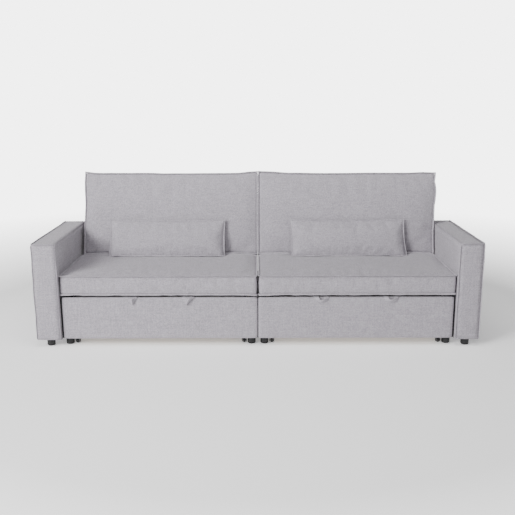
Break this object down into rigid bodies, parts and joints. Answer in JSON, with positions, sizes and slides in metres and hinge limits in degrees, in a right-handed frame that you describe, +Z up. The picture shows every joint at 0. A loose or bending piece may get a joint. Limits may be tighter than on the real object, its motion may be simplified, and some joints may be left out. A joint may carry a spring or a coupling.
{
  "type": "sofa bed",
  "caption": "Upholstered sofa bed of paired seat modules between slab arms, with roll-out trundles, fold-flat backs and lumbar pillows.",
  "frame": {"origin": "on the floor under the middle of the object's box", "axes": "+X along the sofa towards its right arm as seen from the front, +Y from front to back, +Z up"},
  "size_m": [2.66, 0.8856, 0.9783],
  "materials": {
    "upholstery_fabric": "matte",
    "pad_cover": "matte",
    "frame_timber": "matte",
    "slat_plywood": "satin",
    "base_board": "matte",
    "foot_plastic": "matte",
    "steel": "satin"
  },
  "bodies": {
    "base": {"left_arm_cover": "upholstery_fabric", "left_arm_frame": "frame_timber", "left_arm_bottom_board": "frame_timber", "left_arm_feet": "foot_plastic", "left_arm_bolts": "steel", "left_base_sides": "base_board", "left_base_rails": "base_board", "left_base_feet": "foot_plastic", "left_seat_deck": "slat_plywood", "left_trundle_guides": "steel", "left_seat_cushion": "upholstery_fabric", "left_hinge_brackets": "steel", "right_arm_cover": "upholstery_fabric", "right_arm_frame": "frame_timber", "right_arm_bottom_board": "frame_timber", "right_arm_feet": "foot_plastic", "right_arm_bolts": "steel", "right_base_sides": "base_board", "right_base_rails": "base_board", "right_base_feet": "foot_plastic", "right_seat_deck": "slat_plywood", "right_trundle_guides": "steel", "right_seat_cushion": "upholstery_fabric", "right_hinge_brackets": "steel", "module_clip": "steel"},
    "left_back": {"left_hinge_arms": "steel", "left_back_cover": "upholstery_fabric", "left_back_frame": "frame_timber", "left_back_cushion": "upholstery_fabric"},
    "left_pillow": {"left_lumbar_pillow": "upholstery_fabric"},
    "left_trundle": {"left_front_panel": "upholstery_fabric", "left_trundle_frame": "frame_timber", "left_trundle_slats": "slat_plywood", "left_trundle_pad": "pad_cover", "left_caster_forks": "steel", "left_caster_axles": "steel", "left_pull_tabs": "upholstery_fabric"},
    "left_wheel_front_inner": {"left_wheel_front_inner": "foot_plastic"},
    "left_wheel_front_outer": {"left_wheel_front_outer": "foot_plastic"},
    "left_wheel_rear_inner": {"left_wheel_rear_inner": "foot_plastic"},
    "left_wheel_rear_outer": {"left_wheel_rear_outer": "foot_plastic"},
    "right_back": {"right_hinge_arms": "steel", "right_back_cover": "upholstery_fabric", "right_back_frame": "frame_timber", "right_back_cushion": "upholstery_fabric"},
    "right_pillow": {"right_lumbar_pillow": "upholstery_fabric"},
    "right_trundle": {"right_front_panel": "upholstery_fabric", "right_trundle_frame": "frame_timber", "right_trundle_slats": "slat_plywood", "right_trundle_pad": "pad_cover", "right_caster_forks": "steel", "right_caster_axles": "steel", "right_pull_tabs": "upholstery_fabric"},
    "right_wheel_front_inner": {"right_wheel_front_inner": "foot_plastic"},
    "right_wheel_front_outer": {"right_wheel_front_outer": "foot_plastic"},
    "right_wheel_rear_inner": {"right_wheel_rear_inner": "foot_plastic"},
    "right_wheel_rear_outer": {"right_wheel_rear_outer": "foot_plastic"}
  },
  "joints": [
    {"name": "left_back_fold", "type": "hinge", "parent": "base", "child": "left_back", "pos_m": [-0.595, 0.17012, 0.37968], "axis": [-1, 0, 0], "range_deg": [0, 75.4]},
    {"name": "left_trundle_slide", "type": "slide", "parent": "base", "child": "left_trundle", "axis": [0, -1, 0], "range_m": [0, 0.55]},
    {"name": "left_pillow_lift", "type": "slide", "parent": "base", "child": "left_pillow", "axis": [0, 0, 1], "range_m": [0, 0.25]},
    {"name": "left_spin_front_inner", "type": "hinge", "parent": "left_trundle", "child": "left_wheel_front_inner", "pos_m": [-0.0843, -0.36083, 0.017], "axis": [1, 0, 0], "continuous": true},
    {"name": "left_spin_front_outer", "type": "hinge", "parent": "left_trundle", "child": "left_wheel_front_outer", "pos_m": [-1.1057, -0.36083, 0.017], "axis": [1, 0, 0], "continuous": true},
    {"name": "left_spin_rear_inner", "type": "hinge", "parent": "left_trundle", "child": "left_wheel_rear_inner", "pos_m": [-0.0843, 0.16717, 0.017], "axis": [1, 0, 0], "continuous": true},
    {"name": "left_spin_rear_outer", "type": "hinge", "parent": "left_trundle", "child": "left_wheel_rear_outer", "pos_m": [-1.1057, 0.16717, 0.017], "axis": [1, 0, 0], "continuous": true},
    {"name": "right_back_fold", "type": "hinge", "parent": "base", "child": "right_back", "pos_m": [0.595, 0.17012, 0.37968], "axis": [-1, 0, 0], "range_deg": [0, 75.4]},
    {"name": "right_trundle_slide", "type": "slide", "parent": "base", "child": "right_trundle", "axis": [0, -1, 0], "range_m": [0, 0.55]},
    {"name": "right_pillow_lift", "type": "slide", "parent": "base", "child": "right_pillow", "axis": [0, 0, 1], "range_m": [0, 0.25]},
    {"name": "right_spin_front_inner", "type": "hinge", "parent": "right_trundle", "child": "right_wheel_front_inner", "pos_m": [0.0843, -0.36083, 0.017], "axis": [1, 0, 0], "continuous": true},
    {"name": "right_spin_front_outer", "type": "hinge", "parent": "right_trundle", "child": "right_wheel_front_outer", "pos_m": [1.1057, -0.36083, 0.017], "axis": [1, 0, 0], "continuous": true},
    {"name": "right_spin_rear_inner", "type": "hinge", "parent": "right_trundle", "child": "right_wheel_rear_inner", "pos_m": [0.0843, 0.16717, 0.017], "axis": [1, 0, 0], "continuous": true},
    {"name": "right_spin_rear_outer", "type": "hinge", "parent": "right_trundle", "child": "right_wheel_rear_outer", "pos_m": [1.1057, 0.16717, 0.017], "axis": [1, 0, 0], "continuous": true}
  ]
}
